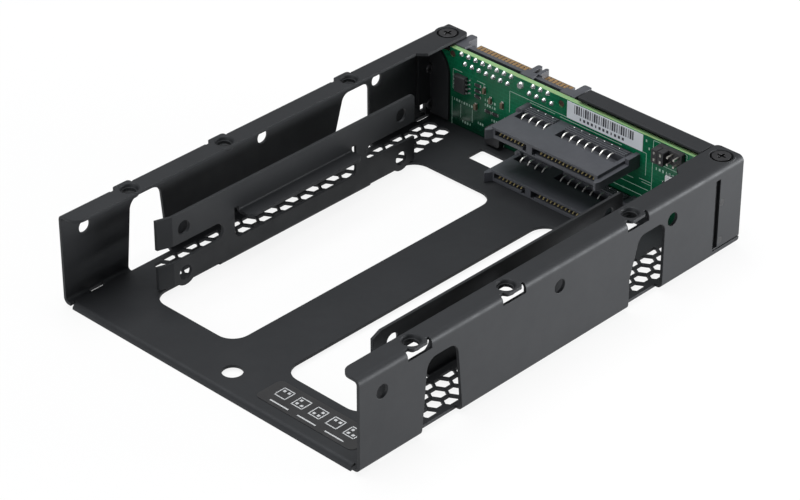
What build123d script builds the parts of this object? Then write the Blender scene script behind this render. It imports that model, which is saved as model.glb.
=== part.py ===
from build123d import *
from math import sqrt
import os

os.makedirs("parts", exist_ok=True)

# Outer form, that of a 3.5 inch drive lying with its fixing holes upward
width = 101.6
wall_height = 25.4
front_reach = 137.4
tray_rear = 1.1
plug_reach = 0.5
datum_y = (front_reach - plug_reach) / 2

# Sheet metal of the tray and of the rear bracket
sheet = 0.8
bend_radius = 1.6
lip_radius = 1.5
lip_inset = 3.0
lip_relief = 0.6
floor_level = lip_radius - sheet
flange_width = 6.2
flange_front_radius = 3.0
pad_width = 8.6
pad_length = 17.0
pad_slope = 2.2
pad_radius = 1.5

# Standard fixing holes, as distances ahead of the connector datum
side_hole_rows = (28.5, 70.1, 130.1)
side_hole_drop = 6.35
side_hole_radius = 1.85
tab_hole_rows = (41.28, 85.73, 117.48)
tab_hole_inset = 3.18
tab_hole_radius = 1.75
tab_rim_radius = 2.7
tab_seat_radius = 2.0
tab_depth = 1.0
tab_reach = (2.95, 2.6)
tab_corner = 0.9
tab_overlap = 0.6
hook_reach = (4.3, 3.6)
hook_drop = 2.6
hook_inset = 1.3

# Corner screws of the rear bracket
screw_inset = 4.2
screw_row = 4.8
screw_rim_radius = 3.3
screw_seat_radius = 2.7
screw_depth = 1.2
screw_head_radius = 2.45
screw_shank_radius = 1.45
screw_length = 4.6
screw_clearance = 0.15
screw_recess = (2.6, 0.6, 0.8)
screw_sink = 0.1
dish_skirt = 0.3
dish_ledge = 0.25
tab_rounding = 0.7
screw_rounding = 0.35

# Openings of the side walls
edge_cut = 2.0
front_arch = ((117.2, 103.4), (115.3, 105.3), 20.3, 3.2)
rear_arch = ((44.1, 31.3), (40.9, 31.3), 19.7, 9.0, 2.6)
slot_rows = ((130.3, 125.7), (14.0, 9.2))
slot_span = (1.0, 1.9)
slit_rows = (11.8, 10.0)
slit_levels = (2.7, 22.5)
seam_levels = (2.0, 2.4)

# Floor openings
window_rows = (121.9, 28.7)
window_radius = 5.0
strip_offset = 1.35
strip_width = 16.9
strip_hole_row = 130.0
strip_hole_radius = 2.65
rear_gap_rows = (18.4, 12.3)
rear_gap_span = (24.1, 79.0)
rear_gap_radius = 0.8

# Honeycomb vents between each side wall and its rail
vent_flats = 3.65
vent_pitch = 4.31
vent_rows = (11.2, 112.0)
vent_span = (3.2, 13.1)
vent_first = {-1: 5.8, 1: 4.15}

# Rails that hold the two 2.5 inch drives
drive_width = 69.85
drive_clearance = 0.15
rail_gap = drive_width + 2 * drive_clearance
rail_top = 21.2
rail_foot = 1.3
rail_rows = (115.0, 29.7)
rail_bend = 1.2
rail_bend_rows = (99.3, 46.1)
rail_corner = 1.3
rail_flare_length = 4.1
rail_flare = 1.3
rail_hole_rows = (111.3, 34.7)
rail_hole_levels = (3.8, 16.7)
rail_hole_radius = 1.95
rail_lobe_radius = 3.65
front_slot = (98.3, 7.9, 12.8)
rear_slot = (47.7, 8.4, 12.9)
ledge_rows = (92.9, 52.9)
ledge_relief = 1.5
ledge_window_foot = 5.9
ledge_window_radius = 2.0
ledge_top = 13.7
ledge_bend = 0.4
ledge_depth = 4.3
ledge_radius = 2.0

# Circuit board, standing across the rear
board_front = 8.0
board_thickness = 1.6
board_inset = 2.4
board_foot = 1.0
board_top = 23.8
board_notch = (8.0, 22.3)
board_lug_levels = (8.6, 12.0)
board_lug_reach = 1.0
lug_clearance = 0.1

# Rear bracket
bracket_rear = 1.0
bracket_clearance = 0.1
bracket_foot = 1.7
ear_rows = (13.5, 10.5)
ear_step = 5.3
bracket_flange_gap = 1.6
bracket_flange_end = width - 8.9
bracket_flange_front = 6.2
plug_notch_margins = (0.3, 0.4)
plug_notch_foot = 18.9
corner_tab_span = 7.6
corner_tab_front = 7.8
stop_reach = 8.35
stop_radius = 9.0
stop_level = 14.75
stop_clearance = 0.1
rivet_points = ((9.0, 15.3), (8.9, 4.4))
rivet_head_radius = 1.5
rivet_spot_clearance = 0.1
rivet_head_height = 0.4
rivet_shank_radius = 0.9
rivet_dimple_radius = 0.8

# Stacked receptacles for the drives
receptacle_levels = {"lower": 4.1, "upper": 17.0}
receptacle_height = 3.2
receptacle_front = 22.9
contact_pitch = 1.27
signal_count = 7
power_count = 15
segment_gap = 6.35
contact_centre = width / 2 + 4.02
contact_row = contact_pitch * (signal_count + power_count - 2) + segment_gap
receptacle_ends = (1.945, 2.105)
receptacle_span = (
    contact_centre - contact_row / 2 - receptacle_ends[0],
    contact_centre + contact_row / 2 + receptacle_ends[1],
)
slot_depth = 6.0
slot_drop = 0.7
slot_height = 1.5
slot_margin = 1.0
key_width = 1.2
key_drop = 0.6
ear_width = 1.3
ear_front = 24.9
ear_drop = 0.5
guide_width = 1.4
guide_gap = 0.3
guide_drop = 0.9
window_front = 15.0
window_rear = 11.2
window_depth = 1.9
window_lead = 1.5
window_run = 0.9
bar_rise = 0.4
bar_rows = (10.9, 8.6)
bar_groove = 0.3
bar_groove_rows = (10.3, 9.4)
post_radius = 1.2
post_front = 12.0
post_rise = 0.8
block_front = 12.4
block_rise = 0.7
contact_width = 0.32
contact_thickness = 0.2
blade_set_back = 0.8
blade_bump = 0.5
spring_points = ((14.15, 1.8), (13.35, 0.35), (11.25, 0.2))

# Host plug on the rear face of the board
plug_start = 8.0
plug_levels = (19.3, 24.2)
plug_wall_rear = 3.7
plug_wall_top = 23.6
plug_slot_width = 1.5
plug_slot_foot = 21.6
tongue_top = 22.3
tongue_thickness = 1.2
tongue_reach = 0.2
tongue_margin = 0.75
tongue_gaps = (3.76, 4.85, 5.59)
power_tongue_start = plug_start + tongue_gaps[0]
power_tongue_end = power_tongue_start + (power_count - 1) * contact_pitch + 2 * tongue_margin
signal_tongue_start = power_tongue_end + tongue_gaps[1]
signal_tongue_end = signal_tongue_start + (signal_count - 1) * contact_pitch + 2 * tongue_margin
power_tongue_centre = (power_tongue_start + power_tongue_end) / 2
signal_tongue_centre = (signal_tongue_start + signal_tongue_end) / 2
plug_span = (plug_start, signal_tongue_end + tongue_gaps[2])
plug_slot_spans = (
    (power_tongue_start + 0.14, power_tongue_end + 0.56),
    (signal_tongue_start - 0.29, signal_tongue_end + 0.39),
)
host_contact_size = (0.85, 0.12)
host_contact_margin = 0.25
post_round = 0.6
left_post_end = plug_start + 2.4
finger_spans = (
    (power_tongue_end + 1.16, power_tongue_end + 2.76),
    (power_tongue_end + 3.86, power_tongue_end + 5.06),
)
finger_reach = 0.3
finger_root = 0.7
right_block_start = plug_span[1] - 2.6
peg_points = ((plug_start + 1.05, 22.0), (plug_span[1] - 3.2, 21.8))
peg_radius = 0.85
peg_clearance = 0.12
peg_sink = 0.15
lock_point = (power_tongue_end + 2.26, 21.8)
lock_radii = (1.05, 0.8)
lock_height = 0.6
solder_radii = (0.72, 0.35)
solder_height = 0.6

# Notch and forward flange of the bracket, which keep clear of the plug
plug_notch_span = (plug_span[0] - plug_notch_margins[0], plug_span[1] + plug_notch_margins[1])
bracket_flange_span = (plug_span[1] + bracket_flange_gap, bracket_flange_end)

# Mode header and its two caps
header_pitch = 2.0
header_columns = 4
header_rows = 2
header_corner = (width - 21.0, 19.6)
header_thickness = 1.5
header_rounding = 0.3
pin_size = 0.5
pin_length = 2.0
pin_clearance = 0.05
cap_size = (1.9, 3.9, 2.3)
cap_gap = 0.05
cap_rounding = 0.25
cap_columns = (0, 1)

# Stickers
sticker_thickness = 0.12
serial_gaps = (1.1, 5.7)
serial_span = (plug_span[1] - serial_gaps[0], header_corner[0] - serial_gaps[1])
serial_levels = (18.65, 23.6)
mode_span = (width - 38.6, width - 6.6)
mode_rows = (133.3, 124.5)
mode_rounding = 1.5


def ahead(distance):
    """Place along Y of a point this far in front of the connector datum."""
    return datum_y - distance


def across(distance):
    """Place along X of a point this far from the outer face of the left wall."""
    return distance - width / 2


def above(level):
    """Height of a point this far over the underside of the floor."""
    return floor_level + level


def middle(pair):
    """Mean of two values."""
    return (pair[0] + pair[1]) / 2


def span(pair):
    """Distance between two values."""
    return abs(pair[1] - pair[0])


def finish(builder, name):
    """Label a finished piece and write its file."""
    builder.part.label = name
    export_step(builder.part, f"parts/{name}.step")


def dish(x, y, rim_radius, seat_radius, hole_radius, depth, rounding):
    """Press a round dish with a hole into a flange of the part in hand."""
    centre = Plane(origin=(x, y, above(wall_height)), x_dir=(1, 0, 0), z_dir=(0, -1, 0))
    with Locations((x, y, above(wall_height - sheet / 2))):
        Cylinder(rim_radius, 2 * sheet, mode=Mode.SUBTRACT)
    with BuildSketch(centre) as section:
        Polygon(
            (rim_radius - dish_ledge, 0),
            (rim_radius + dish_skirt, 0),
            (rim_radius + dish_skirt, -sheet),
            (seat_radius + dish_skirt, -depth - sheet),
            (hole_radius, -depth - sheet),
            (hole_radius, -depth),
            (seat_radius, -depth),
            align=None,
        )
        fillet(section.vertices().group_by(Axis.Y)[-1].sort_by(Axis.X)[0], rounding)
    revolve(section.sketch, axis=Axis((x, y, 0), (0, 0, 1)))


def quarter_bend(centre, outer_radius, toward):
    """Draw a quarter of a bend in the sketch in hand, in the quadrant that toward names."""
    corner = (centre[0] + toward[0] * outer_radius / 2, centre[1] + toward[1] * outer_radius / 2)
    with BuildSketch(mode=Mode.PRIVATE) as bend:
        with Locations(centre):
            Circle(outer_radius)
            Circle(outer_radius - sheet, mode=Mode.SUBTRACT)
        with Locations(corner):
            Rectangle(outer_radius, outer_radius, mode=Mode.INTERSECT)
    add(bend.sketch)


# Tray: floor, side walls, flanges, rails and ledges, all from one sheet
tray_front_y = ahead(front_reach)
rail_x = rail_gap / 2
with BuildPart() as tray:
    with BuildSketch(Plane.XZ.offset(-ahead(tray_rear))):
        with Locations((0, above(wall_height / 2))):
            RectangleRounded(width, wall_height, bend_radius)
            RectangleRounded(
                width - 2 * sheet, wall_height - 2 * sheet, bend_radius - sheet, mode=Mode.SUBTRACT
            )
        with Locations((0, above(wall_height))):
            Rectangle(width - 2 * flange_width, 4 * sheet, mode=Mode.SUBTRACT)
    extrude(amount=front_reach - tray_rear)
    flange_corners = (
        tray.edges()
        .filter_by(Axis.Z)
        .filter_by(lambda edge: abs(edge.center().Y - tray_front_y) < 0.01)
        .filter_by(lambda edge: abs(abs(edge.center().X) - width / 2 + flange_width) < 0.01)
    )
    fillet(flange_corners, flange_front_radius)

    # Wider pads of the flanges over the rear corners
    with BuildSketch(Plane.XY.offset(above(wall_height - sheet))):
        Polygon(
            (across(flange_width - sheet), ahead(pad_length + pad_slope)),
            (across(flange_width), ahead(pad_length + pad_slope)),
            (across(pad_width), ahead(pad_length)),
            (across(pad_width), ahead(tray_rear)),
            (across(flange_width - sheet), ahead(tray_rear)),
            align=None,
        )
        mirror(about=Plane.YZ)
    extrude(amount=sheet)
    pad_corners = (
        tray.edges()
        .filter_by(Axis.Z)
        .filter_by(lambda edge: abs(edge.center().Y - ahead(tray_rear)) < 0.01)
        .filter_by(lambda edge: abs(abs(edge.center().X) - width / 2 + pad_width) < 0.01)
    )
    fillet(pad_corners, pad_radius)

    # Front lip, turned down between two relief notches
    with BuildSketch(Plane.XY):
        with Locations((0, tray_front_y + lip_radius / 2)):
            Rectangle(width - 2 * (lip_inset - lip_relief), lip_radius)
    extrude(amount=above(sheet), mode=Mode.SUBTRACT)
    with BuildSketch(Plane.YZ):
        quarter_bend((tray_front_y + lip_radius, 0), lip_radius, (-1, 1))
    extrude(amount=width / 2 - lip_inset, both=True)

    # Lightening windows on both sides of the centre strip, and the hole at its front
    for side in (-1, 1):
        strip_edge = strip_offset + side * strip_width / 2
        rail_edge = side * (rail_x + rail_bend)
        with BuildSketch(Plane.XY.offset(above(0))):
            with Locations((middle((strip_edge, rail_edge)), ahead(middle(window_rows)))):
                RectangleRounded(span((strip_edge, rail_edge)), span(window_rows), window_radius)
        extrude(amount=sheet, mode=Mode.SUBTRACT)
    with BuildSketch(Plane.XY.offset(above(0))):
        with Locations((strip_offset, ahead(strip_hole_row))):
            Circle(strip_hole_radius)
        with Locations((across(middle(rear_gap_span)), ahead(middle(rear_gap_rows)))):
            RectangleRounded(span(rear_gap_span), span(rear_gap_rows), rear_gap_radius)
    extrude(amount=sheet, mode=Mode.SUBTRACT)

    # Arches, holes, slots and the rear slit of both side walls
    for side in (-1, 1):
        outer_face = Plane.YZ.offset(side * width / 2)
        with BuildSketch(outer_face):
            feet, shoulders, crown, radius = front_arch
            Polygon(
                (ahead(feet[0]), 0),
                (ahead(feet[1]), 0),
                (ahead(shoulders[1]), above(crown)),
                (ahead(shoulders[0]), above(crown)),
                align=None,
            )
            fillet(vertices().group_by(Axis.Y)[-1], radius)
        extrude(amount=-side * edge_cut, mode=Mode.SUBTRACT)
        with BuildSketch(outer_face):
            feet, shoulders, crown, waist, radius = rear_arch
            Polygon(
                (ahead(feet[0]), 0),
                (ahead(feet[1]), 0),
                (ahead(shoulders[1]), above(crown)),
                (ahead(shoulders[0]), above(crown)),
                (ahead(feet[0]), above(waist)),
                align=None,
            )
            fillet(vertices().group_by(Axis.Y)[1:], radius)
        extrude(amount=-side * edge_cut, mode=Mode.SUBTRACT)
        with BuildSketch(outer_face):
            with Locations(*[(ahead(row), above(wall_height - side_hole_drop)) for row in side_hole_rows]):
                Circle(side_hole_radius)
            with Locations((ahead(middle(slit_rows)), above(middle(slit_levels)))):
                Rectangle(span(slit_rows), span(slit_levels))
            with Locations((ahead(middle((slit_rows[0], tray_rear))), above(middle(seam_levels)))):
                Rectangle(slit_rows[0] - tray_rear, span(seam_levels))
            with Locations(*[(ahead(row), above(level)) for row, level in rivet_points]):
                Circle(rivet_shank_radius)
        extrude(amount=-side * sheet, mode=Mode.SUBTRACT)
        for rows in slot_rows:
            with Locations((side * (width / 2 - middle(slot_span)), ahead(middle(rows)), above(sheet))):
                Box(span(slot_span), span(rows), 2 * sheet + 0.4, mode=Mode.SUBTRACT)

    # Flat tabs with dished fixing holes, freed from the walls by hooked slots
    for side in (-1, 1):
        for row in tab_hole_rows:
            tab_x = side * (width / 2 - tab_hole_inset)
            hook_y = ahead(row + (hook_reach[0] - hook_reach[1]) / 2)
            with Locations((side * (width - hook_inset) / 2, hook_y, above(wall_height - hook_drop / 2))):
                Box(hook_inset, sum(hook_reach), hook_drop, mode=Mode.SUBTRACT)
            tab_width = hook_inset + tab_overlap
            tab_y = ahead(row + (tab_reach[0] - tab_reach[1]) / 2)
            with BuildSketch(Plane.XY.offset(above(wall_height - sheet))):
                with Locations((side * (width - tab_width) / 2, tab_y)):
                    Rectangle(tab_width, sum(tab_reach))
                fillet(vertices().sort_by(Axis.X, reverse=side > 0)[:2], tab_corner)
            extrude(amount=sheet)
            dish(
                tab_x,
                ahead(row),
                tab_rim_radius,
                tab_seat_radius,
                tab_hole_radius,
                tab_depth,
                tab_rounding,
            )
        dish(
            side * (width / 2 - screw_inset),
            ahead(screw_row),
            screw_rim_radius,
            screw_seat_radius,
            screw_shank_radius + screw_clearance,
            screw_depth,
            screw_rounding,
        )

    # Rails, bent up from the edges of the windows
    with BuildSketch(Plane.XZ.offset(-ahead(rail_bend_rows[1]))):
        quarter_bend((rail_x + rail_bend, above(rail_bend)), rail_bend, (-1, -1))
        mirror(about=Plane.YZ)
    extrude(amount=span(rail_bend_rows))
    for side in (-1, 1):
        with BuildSketch(Plane.YZ.offset(side * rail_x)):
            with Locations((ahead(middle(rail_rows)), above(middle((rail_foot, rail_top))))):
                Rectangle(span(rail_rows), span((rail_foot, rail_top)))
            fillet(vertices().group_by(Axis.X)[-1], rail_corner)
            with Locations((ahead(middle(rail_bend_rows)), above(rail_foot))):
                Rectangle(span(rail_bend_rows), 2 * (rail_foot - rail_bend))
            with Locations(*[(ahead(row), above(rail_hole_levels[0])) for row in rail_hole_rows]):
                Circle(rail_lobe_radius)
            for row, foot, top in ((front_slot), (rear_slot)):
                away = 1 if row < middle(rail_rows) else -1
                with Locations((ahead(row) + away * (top - foot) / 2, above(middle((foot, top))))):
                    Circle((top - foot) / 2, mode=Mode.SUBTRACT)
                    Rectangle(
                        span(rail_rows),
                        top - foot,
                        align=(Align.MIN if away > 0 else Align.MAX, Align.CENTER),
                        mode=Mode.SUBTRACT,
                    )
            window_top = ledge_top + ledge_bend + ledge_relief / 2
            with BuildSketch(mode=Mode.PRIVATE) as ledge_window:
                with Locations((ahead(middle(ledge_rows)), above(middle((ledge_window_foot, window_top))))):
                    Rectangle(span(ledge_rows) + 2 * ledge_relief, span((ledge_window_foot, window_top)))
                fillet(vertices().group_by(Axis.Y)[0], ledge_window_radius)
            add(ledge_window.sketch, mode=Mode.SUBTRACT)
            with Locations((ahead(middle(ledge_rows)), above(ledge_top + ledge_bend))):
                Rectangle(span(ledge_rows), ledge_relief, align=(Align.CENTER, Align.MIN))
            holes = [(ahead(row), above(level)) for row in rail_hole_rows for level in rail_hole_levels]
            with Locations(*holes):
                Circle(rail_hole_radius, mode=Mode.SUBTRACT)
        extrude(amount=side * sheet)

    # Lead-in flares at the front ends of both arms of each rail
    flare_root = ahead(rail_rows[0])
    flare_tip = ahead(rail_rows[0] + rail_flare_length)
    for foot, top in ((rail_foot, front_slot[1]), (front_slot[2], rail_top)):
        with BuildSketch(Plane.XY.offset(above(foot))):
            Polygon(
                (rail_x, flare_root),
                (rail_x + rail_flare, flare_tip),
                (rail_x + rail_flare + sheet, flare_tip),
                (rail_x + sheet, flare_root),
                align=None,
            )
            mirror(about=Plane.YZ)
        extrude(amount=top - foot)

    # Ledges under the upper drive, lanced out of the rails
    with BuildSketch(Plane.XZ.offset(-ahead(ledge_rows[1]))):
        quarter_bend((rail_x - ledge_bend, above(ledge_top + ledge_bend)), ledge_bend + sheet, (1, -1))
        with Locations((rail_x - ledge_bend, above(ledge_top))):
            Rectangle(ledge_depth - ledge_bend, sheet, align=(Align.MAX, Align.MAX))
        mirror(about=Plane.YZ)
    extrude(amount=span(ledge_rows))
    ledge_corners = (
        tray.edges()
        .filter_by(Axis.Z)
        .filter_by(lambda edge: abs(abs(edge.center().X) - rail_x + ledge_depth) < 0.01)
        .filter_by(lambda edge: abs(edge.length - sheet) < 0.01)
    )
    fillet(ledge_corners, ledge_radius)

    # Honeycomb vents, every second row shifted by half a pitch
    row_step = vent_pitch * sqrt(3) / 2
    row_count = int(span(vent_rows) / row_step)
    column_count = int(span(vent_span) / vent_pitch) + 2
    with BuildSketch(Plane.XY.offset(above(0))):
        for side in (-1, 1):
            centres = []
            for row in range(row_count):
                for column in range(-1, column_count):
                    inset = vent_first[side] + (column - row % 2 / 2) * vent_pitch
                    if vent_span[0] - vent_flats / 4 < inset < vent_span[1] + vent_flats / 4:
                        vent_y = ahead(vent_rows[0] + (row + 0.5) * row_step)
                        centres.append((side * (width / 2 - inset), vent_y))
            with BuildSketch(mode=Mode.PRIVATE) as vents:
                with Locations(*centres):
                    RegularPolygon(vent_flats / sqrt(3), 6, rotation=30)
                with Locations((side * (width / 2 - middle(vent_span)), ahead(middle(vent_rows)))):
                    Rectangle(span(vent_span), span(vent_rows), mode=Mode.INTERSECT)
            add(vents.sketch)
    extrude(amount=sheet, mode=Mode.SUBTRACT)
finish(tray, "tray")

# Rear bracket: a plate behind the board with an ear inside each wall
inner_half = width / 2 - sheet - bracket_clearance
ear_top = wall_height - screw_depth - 2 * sheet
plate_rear_y = ahead(bracket_rear)
with BuildPart() as rear_bracket:
    with BuildSketch(Plane.XY.offset(above(bracket_foot))):
        with Locations((0, plate_rear_y)):
            Rectangle(2 * inner_half, ear_rows[0] - bracket_rear, align=(Align.CENTER, Align.MAX))
        fillet(vertices().group_by(Axis.Y)[-1], bend_radius)
        with Locations((0, plate_rear_y - sheet)):
            Rectangle(
                2 * (inner_half - sheet),
                ear_rows[0],
                align=(Align.CENTER, Align.MAX),
                mode=Mode.SUBTRACT,
            )
    extrude(amount=ear_top - bracket_foot)
    with Locations((0, ahead(ear_rows[1]), above(bracket_foot))):
        Box(
            width,
            span(ear_rows),
            ear_step - bracket_foot,
            align=(Align.CENTER, Align.MAX, Align.MIN),
            mode=Mode.SUBTRACT,
        )
    # Tall right part of the plate with the flange bent forward over the board
    with BuildSketch(Plane.YZ.offset(across(bracket_flange_span[0]))):
        with Locations((plate_rear_y, above(ear_top - sheet))):
            Rectangle(
                sheet,
                wall_height - ear_top + sheet - bend_radius,
                align=(Align.MAX, Align.MIN),
            )
        quarter_bend((plate_rear_y - bend_radius, above(wall_height - bend_radius)), bend_radius, (1, 1))
        with Locations((plate_rear_y - bend_radius, above(wall_height))):
            Rectangle(bracket_flange_front - bracket_rear - bend_radius, sheet, align=(Align.MAX, Align.MAX))
    extrude(amount=span(bracket_flange_span))
    # Notch round the host plug
    with Locations((across(middle(plug_notch_span)), plate_rear_y, above(plug_notch_foot))):
        Box(
            span(plug_notch_span),
            2 * sheet,
            wall_height,
            align=(Align.CENTER, Align.CENTER, Align.MIN),
            mode=Mode.SUBTRACT,
        )
    # Stop plates in front of the ends of the board, each with a rounded upper corner
    stop_back_y = ahead(board_front + stop_clearance)
    for side in (-1, 1):
        ear_face = side * (inner_half - sheet / 2)
        stop_edge = side * (width / 2 - stop_reach)
        with BuildSketch(Plane.XZ.offset(-stop_back_y)):
            with Locations((stop_edge + side * stop_radius, above(stop_level))):
                Circle(stop_radius)
            with Locations((stop_edge + side * stop_radius, above(stop_level))):
                Rectangle(2 * stop_radius, stop_level, align=(Align.CENTER, Align.MAX))
            with Locations((middle((stop_edge, ear_face)), above(middle((bracket_foot, ear_top))))):
                Rectangle(span((stop_edge, ear_face)), span((bracket_foot, ear_top)), mode=Mode.INTERSECT)
        extrude(amount=sheet)
    # Corner tabs under the dished screw seats of the tray
    for side in (-1, 1):
        with BuildSketch(Plane.XY.offset(above(ear_top))):
            with Locations((side * inner_half, plate_rear_y)):
                Rectangle(
                    corner_tab_span - sheet,
                    corner_tab_front - bracket_rear,
                    align=(Align.MIN if side < 0 else Align.MAX, Align.MAX),
                )
            with Locations((side * (width / 2 - screw_inset), ahead(screw_row))):
                Circle(screw_shank_radius, mode=Mode.SUBTRACT)
        extrude(amount=sheet)
        # Slot that the lug of the board passes through, and the rivet holes
        lug_y = ahead(board_front - board_thickness / 2)
        with Locations((side * inner_half, lug_y, above(middle(board_lug_levels)))):
            Box(
                4 * sheet,
                board_thickness + 2 * lug_clearance,
                span(board_lug_levels) + 2 * lug_clearance,
                mode=Mode.SUBTRACT,
            )
        with BuildSketch(Plane.YZ.offset(side * (inner_half + bracket_clearance))):
            with Locations(*[(ahead(row), above(level)) for row, level in rivet_points]):
                Circle(rivet_shank_radius)
        extrude(amount=-side * 2 * sheet, mode=Mode.SUBTRACT)
        with BuildSketch(Plane.YZ.offset(side * (inner_half - sheet))):
            with Locations(*[(ahead(row), above(level)) for row, level in rivet_points]):
                Circle(rivet_head_radius + rivet_spot_clearance)
        extrude(amount=-side * (rivet_head_height + rivet_spot_clearance), mode=Mode.SUBTRACT)
finish(rear_bracket, "rear_bracket")

# Rivets through the walls and the ears of the bracket
ear_inner_x = inner_half - sheet
rivet_length = width / 2 - ear_inner_x
with BuildPart() as ear_rivets:
    for side in (-1, 1):
        for row, level in rivet_points:
            with BuildSketch(Plane.YZ.offset(side * width / 2)):
                with Locations((ahead(row), above(level))):
                    Circle(rivet_shank_radius)
            extrude(amount=-side * (rivet_length + rivet_head_height))
            with BuildSketch(Plane.YZ.offset(side * ear_inner_x)):
                with Locations((ahead(row), above(level))):
                    Circle(rivet_head_radius)
            extrude(amount=-side * rivet_head_height)
            with BuildSketch(Plane.YZ.offset(side * (ear_inner_x - rivet_head_height))):
                with Locations((ahead(row), above(level))):
                    Circle(rivet_dimple_radius)
            extrude(amount=side * rivet_head_height, mode=Mode.SUBTRACT)
finish(ear_rivets, "ear_rivets")

# Corner screws with a cross recess
with BuildPart() as corner_screws:
    for side in (-1, 1):
        screw_x = side * (width / 2 - screw_inset)
        with BuildSketch(Plane.XY.offset(above(wall_height - screw_depth))):
            with Locations((screw_x, ahead(screw_row))):
                Circle(screw_head_radius)
        extrude(amount=screw_depth - screw_sink)
        with BuildSketch(Plane.XY.offset(above(wall_height - screw_depth))):
            with Locations((screw_x, ahead(screw_row))):
                Circle(screw_shank_radius)
        extrude(amount=-screw_length)
        with BuildSketch(Plane.XY.offset(above(wall_height))):
            with Locations((screw_x, ahead(screw_row))):
                Rectangle(screw_recess[0], screw_recess[1])
                Rectangle(screw_recess[1], screw_recess[0])
        extrude(amount=-screw_recess[2], mode=Mode.SUBTRACT)
finish(corner_screws, "corner_screws")

# Circuit board with a lug at each side and notched upper corners
board_face_y = ahead(board_front)
board_back_y = board_face_y + board_thickness
with BuildPart() as circuit_board:
    with BuildSketch(Plane.XZ.offset(-board_back_y)):
        with Locations((0, above(middle((board_foot, board_top))))):
            Rectangle(width - 2 * board_inset, span((board_foot, board_top)))
        with Locations((0, above(middle(board_lug_levels)))):
            Rectangle(width - 2 * board_lug_reach, span(board_lug_levels))
        for side in (-1, 1):
            with Locations((side * (width / 2 - board_notch[0]), above(board_notch[1]))):
                Rectangle(
                    board_notch[0],
                    wall_height,
                    align=(Align.MAX if side < 0 else Align.MIN, Align.MIN),
                    mode=Mode.SUBTRACT,
                )
        with Locations(*[(across(place), above(level)) for place, level in peg_points]):
            Circle(peg_radius + peg_clearance, mode=Mode.SUBTRACT)
    extrude(amount=board_thickness)
finish(circuit_board, "circuit_board")


def contact_places(first, count, pitch):
    """Places along X of a row of contacts."""
    return [first + index * pitch for index in range(count)]


first_signal = contact_centre - contact_row / 2
last_signal = first_signal + (signal_count - 1) * contact_pitch
first_power = last_signal + segment_gap
last_power = first_power + (power_count - 1) * contact_pitch

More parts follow.
